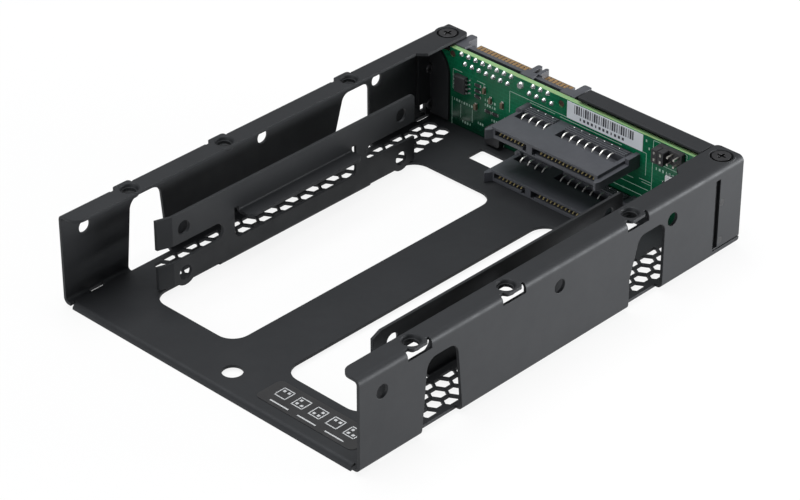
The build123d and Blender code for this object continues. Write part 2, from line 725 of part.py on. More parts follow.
# Stacked receptacles, each with a signal and a power slot that the plug of a drive enters
for name, level in receptacle_levels.items():
    top = above(level)
    foot = top - receptacle_height
    left, right = (across(place) for place in receptacle_span)
    front = ahead(receptacle_front)
    with BuildPart() as receptacle:
        with BuildSketch(Plane.XY.offset(foot)):
            with Locations((middle((left, right)), middle((front, board_face_y)))):
                Rectangle(right - left, board_face_y - front)
            # Left ear and right guide rib, each with a pointed tip
            Polygon(
                (left, board_face_y),
                (left - ear_width, board_face_y),
                (left - ear_width, ahead(ear_front - 0.6)),
                (left - ear_width / 2, ahead(ear_front)),
                (left + 0.5, front),
                (left + 0.5, board_face_y),
                align=None,
            )
            Polygon(
                (right - 0.5, board_face_y),
                (right - 0.5, front),
                (right + guide_gap, ahead(ear_front)),
                (right + guide_gap + guide_width / 2, ahead(ear_front)),
                (right + guide_width, ahead(ear_front - 1.2)),
                (right + guide_width, board_face_y),
                align=None,
            )
        extrude(amount=receptacle_height)
        # Lower tops of the ear and the guide rib
        with BuildSketch(Plane.XY.offset(top)):
            with Locations((left, ahead(ear_front))):
                Rectangle(ear_width + 0.1, ear_front - 11, align=(Align.MAX, Align.MIN))
            with Locations((left, front)):
                Rectangle(4 * ear_width, 4, align=(Align.CENTER, Align.MAX))
        extrude(amount=-ear_drop, mode=Mode.SUBTRACT)
        with BuildSketch(Plane.XY.offset(top)):
            with Locations((right, ahead(ear_front))):
                Rectangle(guide_width + 0.1, ear_front - block_front, align=(Align.MIN, Align.MIN))
            with Locations((right, front)):
                Rectangle(4 * guide_width, 4, align=(Align.CENTER, Align.MAX))
        extrude(amount=-guide_drop, mode=Mode.SUBTRACT)
        # Slots for the two tongues, with the key leg of each beside the pier
        for first, last, key in (
            (first_signal, last_signal, 1),
            (first_power, last_power, -1),
        ):
            slot_left = across(first - slot_margin - (key_width if key < 0 else 0))
            slot_right = across(last + slot_margin + (key_width if key > 0 else 0))
            key_x = slot_right if key > 0 else slot_left
            with Locations((middle((slot_left, slot_right)), front, top - slot_drop)):
                Box(
                    slot_right - slot_left,
                    slot_depth,
                    slot_height,
                    align=(Align.CENTER, Align.MIN, Align.MAX),
                    mode=Mode.SUBTRACT,
                )
            with Locations((key_x, front, top - slot_drop)):
                Box(
                    key_width,
                    slot_depth,
                    slot_height + key_drop,
                    align=(Align.MAX if key > 0 else Align.MIN, Align.MIN, Align.MAX),
                    mode=Mode.SUBTRACT,
                )
            # Window over the contact springs, and the grooved bar behind it
            window_left = across(first - window_lead)
            window_right = across(last + window_run)
            window_middle = middle((window_left, window_right))
            with Locations((window_middle, ahead(window_front), top)):
                Box(
                    window_right - window_left,
                    window_front - window_rear,
                    window_depth,
                    align=(Align.CENTER, Align.MIN, Align.MAX),
                    mode=Mode.SUBTRACT,
                )
            with Locations((window_middle, ahead(middle(bar_rows)), top)):
                Box(
                    window_right - window_left,
                    span(bar_rows),
                    bar_rise,
                    align=(Align.CENTER, Align.CENTER, Align.MIN),
                )
            with Locations(*[(window_middle, ahead(row), top + bar_rise) for row in bar_groove_rows]):
                Box(window_right - window_left, bar_groove, 2 * bar_groove, mode=Mode.SUBTRACT)
        # Round post at the left and raised block at the right, both next to the board
        with Locations((left + ear_width / 2 - post_radius, ahead(post_front), top + post_rise - post_radius)):
            with Locations(Rotation(-90, 0, 0)):
                Cylinder(
                    post_radius,
                    post_front - board_front,
                    align=(Align.CENTER, Align.CENTER, Align.MIN),
                )
        with Locations((right + guide_width, board_face_y, top)):
            Box(
                guide_width,
                block_front - board_front,
                block_rise,
                align=(Align.MAX, Align.MAX, Align.MIN),
            )
    finish(receptacle, f"{name}_receptacle")

    # Gold contacts: a blade along the floor of the slot and a spring arch under the window
    slot_floor = top - slot_drop - slot_height
    for segment, first, count in (
        ("signal", first_signal, signal_count),
        ("power", first_power, power_count),
    ):
        with BuildPart() as contacts:
            for index, place in enumerate(contact_places(first, count, contact_pitch)):
                with BuildSketch(Plane.YZ.offset(across(place) - contact_width / 2)):
                    Polygon(
                        (front + blade_set_back, slot_floor),
                        (front + 2 * blade_bump + blade_set_back / 2, slot_floor + blade_bump),
                        (front + 3 * blade_bump + blade_set_back / 2, slot_floor + blade_bump),
                        (front + 6 * blade_bump, slot_floor + contact_thickness),
                        (front + slot_depth, slot_floor + contact_thickness),
                        (front + slot_depth, slot_floor),
                        align=None,
                    )
                extrude(amount=contact_width)
                if index % 2 == 0 and index < count - 1 or segment == "signal" and index == count - 1:
                    with BuildSketch(Plane.YZ.offset(across(place) - contact_width / 2)):
                        with BuildLine():
                            ThreePointArc(*[(ahead(row), top - drop) for row, drop in spring_points])
                        trace(line_width=contact_thickness)
                    extrude(amount=contact_width)
        finish(contacts, f"{name}_{segment}_contacts")

# Host plug: two keyed tongues between posts on the rear face of the board
wall_rear_y = ahead(plug_wall_rear)
finger_y = ahead(-finger_reach)
post_y = ahead(-plug_reach)
with BuildPart() as host_plug:
    with BuildSketch(Plane.XY.offset(above(plug_levels[0]))):
        with Locations((across(middle(plug_span)), board_back_y)):
            Rectangle(span(plug_span), wall_rear_y - board_back_y, align=(Align.CENTER, Align.MIN))
        for start, end, tip in (
            (plug_span[0], left_post_end, post_y),
            (*finger_spans[0], finger_y),
            (*finger_spans[1], finger_y),
            (right_block_start, plug_span[1], post_y),
        ):
            with Locations((across(middle((start, end))), board_back_y)):
                Rectangle(end - start, tip - board_back_y, align=(Align.CENTER, Align.MIN))
        fillet(vertices().filter_by(lambda corner: corner.Y > wall_rear_y + finger_root), post_round)
        root_corners = vertices().filter_by(lambda corner: abs(corner.Y - wall_rear_y) < finger_root / 2)
        between_fingers = [across(place) for place in (finger_spans[0][1], finger_spans[1][0])]
        fillet(
            root_corners.filter_by(
                lambda corner: min(abs(corner.X - place) for place in between_fingers) > finger_root / 2
            ),
            finger_root,
        )
    extrude(amount=span(plug_levels))
    # Open slots between the board and the low walls behind the tongues
    for ends in plug_slot_spans:
        with Locations((across(middle(ends)), board_back_y, above(plug_wall_top))):
            Box(
                span(ends),
                wall_rear_y - board_back_y,
                wall_height,
                align=(Align.CENTER, Align.MIN, Align.MIN),
                mode=Mode.SUBTRACT,
            )
        with Locations((across(middle(ends)), board_back_y, above(plug_slot_foot))):
            Box(
                span(ends),
                plug_slot_width,
                wall_height,
                align=(Align.CENTER, Align.MIN, Align.MIN),
                mode=Mode.SUBTRACT,
            )
    tongue_tip = ahead(-tongue_reach)
    for centre, count, key in (
        (power_tongue_centre, power_count, 1),
        (signal_tongue_centre, signal_count, -1),
    ):
        half = (count - 1) * contact_pitch / 2 + tongue_margin
        with Locations((across(centre), wall_rear_y, above(tongue_top))):
            Box(
                2 * half,
                tongue_tip - wall_rear_y,
                tongue_thickness,
                align=(Align.CENTER, Align.MIN, Align.MAX),
            )
        with Locations((across(centre + key * half), wall_rear_y, above(tongue_top))):
            Box(
                tongue_thickness,
                tongue_tip - wall_rear_y,
                2 * tongue_thickness,
                align=(Align.MAX if key > 0 else Align.MIN, Align.MIN, Align.MAX),
            )
    # Locating pegs that stand in holes of the board
    with BuildSketch(Plane.XZ.offset(-board_back_y)):
        with Locations(*[(across(place), above(level)) for place, level in peg_points]):
            Circle(peg_radius)
    extrude(amount=board_thickness - peg_sink)
finish(host_plug, "host_plug")

# Gold contacts on the upper faces of the tongues
for segment, centre, count in (
    ("power", power_tongue_centre, power_count),
    ("signal", signal_tongue_centre, signal_count),
):
    with BuildPart() as contacts:
        first = centre - (count - 1) * contact_pitch / 2
        for place in contact_places(first, count, contact_pitch):
            with Locations((across(place), wall_rear_y, above(tongue_top))):
                Box(
                    host_contact_size[0],
                    tongue_tip - wall_rear_y - host_contact_margin,
                    host_contact_size[1],
                    align=(Align.CENTER, Align.MIN, Align.MIN),
                )
    finish(contacts, f"host_{segment}_contacts")


def solder_cone(place, level, radii, height):
    """Add a solder joint that stands on the front face of the board."""
    with Locations((across(place), board_face_y, above(level))):
        with Locations(Rotation(90, 0, 0)):
            Cone(*radii, height, align=(Align.CENTER, Align.CENTER, Align.MIN))


# Solder joints of the host plug: first place, number and level of each row
solder_rows = (
    (12.2, 8, 23.05),
    (13.47, 7, 20.5),
    (37.6, 3, 23.05),
    (36.34, 4, 20.5),
)
with BuildPart() as plug_solder_joints:
    for first, count, level in solder_rows:
        for place in contact_places(first, count, 2 * contact_pitch):
            solder_cone(place, level, solder_radii, solder_height)
finish(plug_solder_joints, "plug_solder_joints")

# Soldered board lock between the two segments of the host plug
with BuildPart() as board_lock:
    solder_cone(*lock_point, lock_radii, lock_height)
finish(board_lock, "board_lock")


def surface_block(x_span, z_span, height, back=False):
    """Add a block that lies on the front or the rear face of the board."""
    face = board_back_y if back else board_face_y
    with Locations((across(middle(x_span)), face, above(middle(z_span)))):
        Box(
            span(x_span),
            height,
            span(z_span),
            align=(Align.CENTER, Align.MIN if back else Align.MAX, Align.CENTER),
        )


# Flash chip in an eight-lead package
flash_span = (10.8, 14.6)
flash_levels = (12.0, 16.9)
flash_height = 1.5
flash_pitch = 1.27
lead_width = 0.42
with BuildPart() as flash_chip:
    surface_block(flash_span, flash_levels, flash_height)
    chamfer(flash_chip.faces().sort_by(Axis.Y)[0].edges(), 0.25)
finish(flash_chip, "flash_chip")
with BuildPart() as flash_chip_leads:
    for side in (-1, 1):
        body_edge = across(flash_span[1] if side > 0 else flash_span[0])
        for index in range(4):
            level = above(middle(flash_levels) + (index - 1.5) * flash_pitch)
            with BuildSketch(Plane.XY.offset(level - lead_width / 2)):
                Polygon(
                    (body_edge, board_face_y - 0.9),
                    (body_edge + side * 0.55, board_face_y - 0.9),
                    (body_edge + side * 0.75, board_face_y - 0.2),
                    (body_edge + side * 1.1, board_face_y - 0.2),
                    (body_edge + side * 1.1, board_face_y),
                    (body_edge + side * 0.6, board_face_y),
                    (body_edge + side * 0.4, board_face_y - 0.7),
                    (body_edge, board_face_y - 0.7),
                    align=None,
                )
            extrude(amount=lead_width)
finish(flash_chip_leads, "flash_chip_leads")

# Small passive parts on the front face of the board
with BuildPart() as resistors:
    for place, level in (
        (17.6, 15.6),
        (17.6, 13.9),
        (17.6, 12.2),
        (21.4, 9.2),
        (24.0, 9.2),
        (width - 19.4, 12.2),
    ):
        surface_block((place, place + 1.6), (level, level + 0.8), 0.45)
finish(resistors, "resistors")
with BuildPart() as capacitors:
    for place, level in (
        (20.4, 14.6),
        (22.6, 12.4),
        (26.8, 12.6),
        (17.4, 8.6),
        (width - 15.2, 11.0),
        (width - 11.2, 16.2),
    ):
        surface_block((place, place + 0.8), (level, level + 1.6), 0.8)
finish(capacitors, "capacitors")
with BuildPart() as power_inductor:
    surface_block((23.2, 28.4), (1.6, 6.6), 2.6)
    fillet(power_inductor.edges().filter_by(Axis.Y), 0.9)
finish(power_inductor, "power_inductor")
with BuildPart() as crystal:
    surface_block((width - 18.4, width - 15.2), (13.2, 15.7), 0.9)
    fillet(crystal.edges().filter_by(Axis.Y), 0.5)
finish(crystal, "crystal")

# Bridge controller on the rear face of the board
with BuildPart() as bridge_controller:
    surface_block((44.0, 54.0), (5.0, 15.0), 1.2, back=True)
    chamfer(bridge_controller.faces().sort_by(Axis.Y)[-1].edges(), 0.2)
finish(bridge_controller, "bridge_controller")

# Mode header: base, pins and two caps that pull off
header_span = (header_corner[0], header_corner[0] + header_columns * header_pitch)
header_levels = (header_corner[1], header_corner[1] + header_rows * header_pitch)
pin_places = [header_corner[0] + (column + 0.5) * header_pitch for column in range(header_columns)]
pin_levels = [header_corner[1] + (row + 0.5) * header_pitch for row in range(header_rows)]
pin_points = [(across(place), above(level)) for place in pin_places for level in pin_levels]
header_face_y = board_face_y - header_thickness
with BuildPart() as mode_header:
    surface_block(header_span, header_levels, header_thickness)
    fillet(mode_header.edges().filter_by(Axis.Y), header_rounding)
    with Locations(*[(place, header_face_y, level) for place, level in pin_points]):
        Box(pin_size, 2 * header_thickness, pin_size, mode=Mode.SUBTRACT)
finish(mode_header, "mode_header")
with BuildPart() as header_pins:
    with Locations(*[(place, board_face_y, level) for place, level in pin_points]):
        Box(
            pin_size,
            header_thickness + pin_length,
            pin_size,
            align=(Align.CENTER, Align.MAX, Align.CENTER),
        )
finish(header_pins, "header_pins")
cap_face_y = header_face_y - cap_gap
for number, column in enumerate(cap_columns, start=1):
    cap_x = across(pin_places[column])
    with BuildPart() as jumper_cap:
        with Locations((cap_x, cap_face_y, above(middle(header_levels)))):
            Box(cap_size[0], cap_size[2], cap_size[1], align=(Align.CENTER, Align.MAX, Align.CENTER))
        fillet(jumper_cap.edges().filter_by(Axis.Y), cap_rounding)
        pocket_width = pin_size + 2 * pin_clearance
        with Locations(*[(cap_x, cap_face_y, above(level)) for level in pin_levels]):
            Box(pocket_width, 2 * (cap_size[2] + pin_clearance), pocket_width, mode=Mode.SUBTRACT)
    finish(jumper_cap, f"jumper_cap_{number}")

# Stickers
with BuildPart() as serial_sticker:
    surface_block(serial_span, serial_levels, sticker_thickness)
finish(serial_sticker, "serial_sticker")
with BuildPart() as mode_label:
    with BuildSketch(Plane.XY.offset(above(sheet))):
        with Locations((across(middle(mode_span)), ahead(middle(mode_rows)))):
            RectangleRounded(span(mode_span), span(mode_rows), mode_rounding)
    extrude(amount=sticker_thickness)
finish(mode_label, "mode_label")
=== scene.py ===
import math

import bmesh
import bpy
from mathutils import Matrix, Vector


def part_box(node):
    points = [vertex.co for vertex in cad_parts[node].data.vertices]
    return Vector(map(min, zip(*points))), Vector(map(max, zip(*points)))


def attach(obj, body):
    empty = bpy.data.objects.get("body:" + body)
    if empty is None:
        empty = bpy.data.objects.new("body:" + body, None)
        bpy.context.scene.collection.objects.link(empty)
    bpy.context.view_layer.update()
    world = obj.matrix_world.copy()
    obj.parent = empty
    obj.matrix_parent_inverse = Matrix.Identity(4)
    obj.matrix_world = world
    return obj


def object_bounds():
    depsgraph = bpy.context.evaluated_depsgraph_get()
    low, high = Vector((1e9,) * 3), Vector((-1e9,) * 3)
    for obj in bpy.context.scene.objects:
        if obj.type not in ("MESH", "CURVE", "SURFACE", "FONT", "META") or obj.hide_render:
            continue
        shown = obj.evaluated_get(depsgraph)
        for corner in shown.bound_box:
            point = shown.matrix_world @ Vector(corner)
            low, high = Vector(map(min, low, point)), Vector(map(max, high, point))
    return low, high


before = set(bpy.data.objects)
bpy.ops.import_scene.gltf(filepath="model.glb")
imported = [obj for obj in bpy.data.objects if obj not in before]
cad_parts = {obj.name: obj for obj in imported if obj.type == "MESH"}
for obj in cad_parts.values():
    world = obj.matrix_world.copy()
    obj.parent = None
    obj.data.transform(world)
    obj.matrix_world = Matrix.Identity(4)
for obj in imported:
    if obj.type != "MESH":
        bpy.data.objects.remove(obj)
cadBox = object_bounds()
mm = 0.001

# Places on the part: x from the left wall, y before the rear datum, z over the floor, all in mm
trayLow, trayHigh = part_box("tray")
boardLow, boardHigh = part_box("circuit_board")
datum = {
    "boardFront": 8.0,   # front face of the board, before the datum
    "lipDrop": 0.7,   # front lip, under the floor
}


def fromLeft(x):
    return trayLow.x + x * mm


def beforeDatum(y):
    return boardLow.y + (datum["boardFront"] - y) * mm


def overFloor(z):
    return trayLow.z + (z + datum["lipDrop"]) * mm


# Tools for the materials: a fed value is a number, a colour or the output of another node

def newMaterial(name):
    mat = bpy.data.materials.new(name)
    mat.use_nodes = True
    tree = mat.node_tree
    coords = tree.nodes.new("ShaderNodeTexCoord")
    coords.location = (-1200, 0)
    return mat, tree, tree.nodes["Principled BSDF"], coords


def feed(tree, value, socket):
    if isinstance(value, bpy.types.NodeSocket):
        tree.links.new(value, socket)
    elif socket.type == "RGBA":
        socket.default_value = (*value, 1)
    else:
        socket.default_value = value


def addNoise(tree, coords, scale, detail=3.0, roughness=0.55, stretch=(1, 1, 1), place=(-900, 0)):
    mapping = tree.nodes.new("ShaderNodeMapping")
    mapping.location = (place[0] - 180, place[1])
    mapping.inputs["Scale"].default_value = stretch
    noise = tree.nodes.new("ShaderNodeTexNoise")
    noise.location = place
    noise.inputs["Scale"].default_value = scale
    noise.inputs["Detail"].default_value = detail
    noise.inputs["Roughness"].default_value = roughness
    tree.links.new(coords.outputs["Object"], mapping.inputs["Vector"])
    tree.links.new(mapping.outputs["Vector"], noise.inputs["Vector"])
    return noise.outputs["Fac"]


# The span from 0.3 to 0.7 holds nearly all of a noise
def addRange(tree, value, low, high, place=(-600, 0), span=(0.3, 0.7)):
    ranger = tree.nodes.new("ShaderNodeMapRange")
    ranger.location = place
    ranger.inputs["From Min"].default_value, ranger.inputs["From Max"].default_value = span
    ranger.inputs["To Min"].default_value = low
    ranger.inputs["To Max"].default_value = high
    tree.links.new(value, ranger.inputs["Value"])
    return ranger.outputs["Result"]


def addMix(tree, factor, first, second, place=(-350, 100)):
    mix = tree.nodes.new("ShaderNodeMix")
    mix.data_type = "RGBA"
    mix.location = place
    tree.links.new(factor, mix.inputs["Factor"])
    feed(tree, first, mix.inputs["A"])
    feed(tree, second, mix.inputs["B"])
    return mix.outputs["Result"]


def addMath(tree, operation, *values, place=(-700, 500)):
    step = tree.nodes.new("ShaderNodeMath")
    step.operation = operation
    step.location = place
    for value, socket in zip(values, step.inputs):
        feed(tree, value, socket)
    return step.outputs["Value"]


def addPosition(tree, coords, place=(-1000, 500)):
    split = tree.nodes.new("ShaderNodeSeparateXYZ")
    split.location = place
    tree.links.new(coords.outputs["Object"], split.inputs["Vector"])
    return split.outputs


def addBump(tree, shader, height, strength, distance, bevel=0.0):
    bump = tree.nodes.new("ShaderNodeBump")
    bump.location = (-250, -350)
    bump.inputs["Strength"].default_value = strength
    bump.inputs["Distance"].default_value = distance
    tree.links.new(height, bump.inputs["Height"])
    if bevel:
        rounder = tree.nodes.new("ShaderNodeBevel")
        rounder.location = (-450, -500)
        rounder.samples = 4
        rounder.inputs["Radius"].default_value = bevel
        tree.links.new(rounder.outputs["Normal"], bump.inputs["Normal"])
    tree.links.new(bump.outputs["Normal"], shader.inputs["Normal"])


def addSurface(tree, shader, coords, look):   # gloss and grain of one finish
    gloss = addNoise(tree, coords, look["glossScale"])
    tree.links.new(addRange(tree, gloss, *look["gloss"]), shader.inputs["Roughness"])
    stretch = look.get("grainStretch", (1, 1, 1))
    grain = addNoise(
        tree, coords, look["grainScale"], detail=4.0, roughness=0.6, stretch=stretch, place=(-900, -350),
    )
    addBump(tree, shader, grain, look["grain"], look["grainDepth"], look.get("bevel", 0.0))


# Plain finishes: two shades of one colour, a range of roughness, and a fine grain

finishes = {
    "blackCoat": {
        "colour": (0.008, 0.0085, 0.0098), "shade": (0.0115, 0.012, 0.0135), "toneScale": 60,
        "gloss": (0.54, 0.63), "glossScale": 220, "specular": 0.34, "tint": (0.92, 0.96, 1.0),
        "grain": 0.2, "grainScale": 1500, "grainDepth": 0.04 * mm, "bevel": 0.22 * mm,
    },
    "blackSteel": {
        "colour": (0.016, 0.016, 0.018), "shade": (0.03, 0.03, 0.032), "toneScale": 500,
        "gloss": (0.28, 0.4), "glossScale": 600, "metal": 0.4,
        "grain": 0.15, "grainScale": 1800, "grainDepth": 0.03 * mm, "bevel": 0.2 * mm,
    },
    "connectorPlastic": {
        "colour": (0.046, 0.049, 0.058), "shade": (0.058, 0.061, 0.071), "toneScale": 200,
        "gloss": (0.42, 0.55), "glossScale": 500,
        "grain": 0.25, "grainScale": 2600, "grainDepth": 0.03 * mm, "bevel": 0.15 * mm,
    },
    "chipPlastic": {
        "colour": (0.014, 0.014, 0.016), "shade": (0.022, 0.022, 0.024), "toneScale": 900,
        "gloss": (0.45, 0.6), "glossScale": 900,
        "grain": 0.3, "grainScale": 4200, "grainDepth": 0.02 * mm, "bevel": 0.1 * mm,
    },
    "goldPlate": {
        "colour": (0.78, 0.5, 0.24), "shade": (0.66, 0.41, 0.18), "toneScale": 600,
        "gloss": (0.16, 0.28), "glossScale": 900, "metal": 1.0,
        "grain": 0.06, "grainScale": 3000, "grainDepth": 0.01 * mm,
    },
    "springSilver": {
        "colour": (0.62, 0.61, 0.57), "shade": (0.5, 0.49, 0.45), "toneScale": 700,
        "gloss": (0.24, 0.36), "glossScale": 900, "metal": 1.0,
        "grain": 0.06, "grainScale": 3000, "grainDepth": 0.01 * mm,
    },
    "solder": {
        "colour": (0.78, 0.79, 0.8), "shade": (0.6, 0.61, 0.62), "toneScale": 1200,
        "gloss": (0.2, 0.36), "glossScale": 1500, "metal": 1.0,
        "grain": 0.2, "grainScale": 3500, "grainDepth": 0.03 * mm,
    },
    "ceramicTan": {
        "colour": (0.12, 0.085, 0.055), "shade": (0.18, 0.13, 0.09), "toneScale": 900,
        "gloss": (0.35, 0.5), "glossScale": 900,
        "grain": 0.2, "grainScale": 4000, "grainDepth": 0.02 * mm, "bevel": 0.08 * mm,
    },
    "brightCan": {
        "colour": (0.84, 0.85, 0.87), "shade": (0.76, 0.77, 0.79), "toneScale": 400,
        "gloss": (0.3, 0.38), "glossScale": 500, "metal": 0.45,
        "grain": 0.04, "grainScale": 1200, "grainDepth": 0.01 * mm,
        "grainStretch": (1, 1, 8), "bevel": 0.1 * mm,
    },
    "stickerPaper": {
        "colour": (0.6, 0.63, 0.67), "shade": (0.66, 0.69, 0.73), "toneScale": 150,
        "gloss": (0.35, 0.45), "glossScale": 400,
        "grain": 0.12, "grainScale": 2200, "grainDepth": 0.02 * mm,
    },
    "labelFilm": {
        "colour": (0.01, 0.01, 0.011), "shade": (0.016, 0.016, 0.017), "toneScale": 120,
        "gloss": (0.3, 0.38), "glossScale": 300,
        "grain": 0.1, "grainScale": 1400, "grainDepth": 0.02 * mm,
    },
    "printInk": {
        "colour": (0.46, 0.47, 0.48), "shade": (0.56, 0.57, 0.58), "toneScale": 900,
        "gloss": (0.5, 0.6), "glossScale": 900,
        "grain": 0.1, "grainScale": 3000, "grainDepth": 0.01 * mm,
    },
    "silkInk": {
        "colour": (0.3, 0.46, 0.38), "shade": (0.4, 0.56, 0.47), "toneScale": 900,
        "gloss": (0.5, 0.62), "glossScale": 900,
        "grain": 0.2, "grainScale": 3000, "grainDepth": 0.01 * mm,
    },
    "pegBrown": {
        "colour": (0.03, 0.017, 0.01), "shade": (0.06, 0.035, 0.02), "toneScale": 1500,
        "gloss": (0.4, 0.55), "glossScale": 900,
        "grain": 0.2, "grainScale": 3500, "grainDepth": 0.02 * mm,
    },
    "barInk": {
        "colour": (0.02, 0.02, 0.03), "shade": (0.04, 0.04, 0.05), "toneScale": 900,
        "gloss": (0.5, 0.6), "glossScale": 900,
        "grain": 0.1, "grainScale": 3000, "grainDepth": 0.01 * mm,
    },
}


def makeFinish(name, look):
    mat, tree, shader, coords = newMaterial(name)
    noise = addNoise(tree, coords, look["toneScale"], place=(-900, 300))
    tone = addRange(tree, noise, 0, 1, (-600, 300))
    colour = addMix(tree, tone, look["colour"], look["shade"])
    tree.links.new(colour, shader.inputs["Base Color"])
    shader.inputs["Metallic"].default_value = look.get("metal", 0.0)
    shader.inputs["Specular IOR Level"].default_value = look.get("specular", 0.5)
    shader.inputs["Specular Tint"].default_value = (*look.get("tint", (1.0, 1.0, 1.0)), 1)
    addSurface(tree, shader, coords, look)
    return mat


mats = {name: makeFinish(name, look) for name, look in finishes.items()}


# Circuit board: green mask over copper tracks, bare glass and resin at the cut edge

boardLook = {
    "mask": (0.0, 0.09, 0.037), "maskShade": (0.002, 0.12, 0.052), "patchScale": 90, "patchDetail": 1.0,
    "track": (0.004, 0.15, 0.07), "trackScale": 225, "trackGap": 0.03,
    "relief": 0.25, "reliefDepth": 0.03 * mm,
    "edge": (0.2, 0.43, 0.19), "edgeShade": (0.27, 0.36, 0.16), "skin": 0.03 * mm,
    "glassScale": 1800, "glassDetail": 2.0, "glassStretch": (0.2, 1, 1),
    "gloss": (0.16, 0.28), "glossScale": 300,
    # Painted shade at the foot of the board: its colour, where it fades out, and the share of the mask
    # colour left in it
    "foot": (0.0, 0.02, 0.01), "paintedShadeSpan": (1 * mm, 12 * mm), "paintedShadeShare": (0.12, 1.0),
}


def makeBoardMaterial(look):
    mat, tree, shader, coords = newMaterial("solderMask")
    spot = addPosition(tree, coords, (-1000, 600))
    middle, half = (boardLow.y + boardHigh.y) / 2, (boardHigh.y - boardLow.y) / 2
    # 1 between the two faces, where the cut edge shows
    inCore = addMath(tree, "COMPARE", spot["Y"], middle, half - look["skin"], place=(-800, 600))
    flat = tree.nodes.new("ShaderNodeCombineXYZ")   # turns the tracks into the plane of the board
    flat.location = (-1000, 900)
    tree.links.new(spot["X"], flat.inputs["X"])
    tree.links.new(spot["Z"], flat.inputs["Y"])
    tracks = tree.nodes.new("ShaderNodeTexBrick")
    tracks.location = (-900, 800)
    tracks.inputs["Scale"].default_value = look["trackScale"]
    tracks.inputs["Mortar Size"].default_value = look["trackGap"]
    tree.links.new(flat.outputs["Vector"], tracks.inputs["Vector"])
    patches = addNoise(tree, coords, look["patchScale"], look["patchDetail"], place=(-900, 300))
    patches = addRange(tree, patches, 0, 1, (-600, 300))
    face = addMix(tree, patches, look["mask"], look["maskShade"], (-350, 300))
    copper = addMath(tree, "MULTIPLY", tracks.outputs["Fac"], patches, place=(-500, 700))
    face = addMix(tree, copper, face, look["track"], (-150, 400))
    # Painted shade: towards the bottom of the board its colour fades to the dark foot colour
    foot = tuple(boardLow.z + height for height in look["paintedShadeSpan"])
    rise = addRange(tree, spot["Z"], *look["paintedShadeShare"], (-350, 900), foot)
    face = addMix(tree, rise, look["foot"], face, (0, 600))
    glass = addNoise(tree, coords, look["glassScale"], look["glassDetail"], stretch=look["glassStretch"])
    edge = addMix(tree, addRange(tree, glass, 0, 1), look["edge"], look["edgeShade"], (-350, 0))
    tree.links.new(addMix(tree, inCore, face, edge, (50, 300)), shader.inputs["Base Color"])
    gloss = addNoise(tree, coords, look["glossScale"], place=(-900, -200))
    tree.links.new(addRange(tree, gloss, *look["gloss"], (-600, -200)), shader.inputs["Roughness"])
    addBump(tree, shader, tracks.outputs["Fac"], look["relief"], look["reliefDepth"])
    return mat


mats["solderMask"] = makeBoardMaterial(boardLook)


# Contacts of the receptacles: gold blades in front, silver springs behind them

contactLook = {
    "blade": (0.85, 0.7, 0.34), "spring": (0.9, 0.89, 0.85), "springStart": 15.8, "metal": 0.7,
    "gloss": (0.26, 0.4), "glossScale": 900, "grain": 0.06, "grainScale": 3000, "grainDepth": 0.01 * mm,
}


def makeContactMaterial(look):
    mat, tree, shader, coords = newMaterial("contactStrip")
    spot = addPosition(tree, coords)
    behind = addMath(tree, "GREATER_THAN", spot["Y"], beforeDatum(look["springStart"]))
    colour = addMix(tree, behind, look["blade"], look["spring"])
    tree.links.new(colour, shader.inputs["Base Color"])
    shader.inputs["Metallic"].default_value = look["metal"]
    addSurface(tree, shader, coords, look)
    return mat


mats["contactStrip"] = makeContactMaterial(contactLook)


# Rivets: bare steel heads inside, coated ends in the outer faces of the walls

rivetLook = {
    "steel": (0.2, 0.2, 0.21), "coat": (0.009, 0.0095, 0.011), "coatDepth": 0.4 * mm,
    "gloss": (0.28, 0.42), "glossScale": 800,
    "grain": 0.15, "grainScale": 1800, "grainDepth": 0.03 * mm, "bevel": 0.2 * mm,
}


def makeRivetMaterial(look):
    mat, tree, shader, coords = newMaterial("rivetHead")
    aside = addMath(tree, "ABSOLUTE", addPosition(tree, coords)["X"], place=(-850, 500))
    inside = addMath(tree, "LESS_THAN", aside, trayHigh.x - look["coatDepth"])
    colour = addMix(tree, inside, look["coat"], look["steel"])
    tree.links.new(colour, shader.inputs["Base Color"])
    tree.links.new(inside, shader.inputs["Metallic"])
    addSurface(tree, shader, coords, look)
    return mat


mats["rivetHead"] = makeRivetMaterial(rivetLook)

nodeFinish = {
    "tray": "blackCoat", "rear_bracket": "blackCoat", "ear_rivets": "rivetHead",
    "corner_screws": "blackSteel", "circuit_board": "solderMask",
    "upper_receptacle": "connectorPlastic", "lower_receptacle": "connectorPlastic",
    "host_plug": "connectorPlastic",
    "upper_signal_contacts": "contactStrip", "upper_power_contacts": "contactStrip",
    "lower_signal_contacts": "contactStrip", "lower_power_contacts": "contactStrip",
    "host_signal_contacts": "goldPlate", "host_power_contacts": "goldPlate",
    "plug_solder_joints": "solder", "board_lock": "solder", "flash_chip": "chipPlastic",
    "flash_chip_leads": "solder", "resistors": "chipPlastic", "capacitors": "ceramicTan",
    "power_inductor": "chipPlastic", "crystal": "brightCan", "bridge_controller": "chipPlastic",
    "mode_header": "chipPlastic", "header_pins": "springSilver",
    "jumper_cap_1": "chipPlastic", "jumper_cap_2": "chipPlastic",
    "serial_sticker": "stickerPaper", "mode_label": "labelFilm",
}
for name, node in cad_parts.items():
    node.data.materials.clear()
    node.data.materials.append(mats[nodeFinish[name]])
print("finishes done")


# Tools for the pieces

def addPiece(name, bm, finish, body, smooth=False):
    mesh = bpy.data.meshes.new(name)
    bmesh.ops.recalc_face_normals(bm, faces=bm.faces)
    bm.to_mesh(mesh)
    bm.free()
    for polygon in mesh.polygons:
        polygon.use_smooth = smooth
    mesh.materials.append(mats[finish])
    piece = bpy.data.objects.new(name, mesh)
    bpy.context.scene.collection.objects.link(piece)
    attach(piece, body)


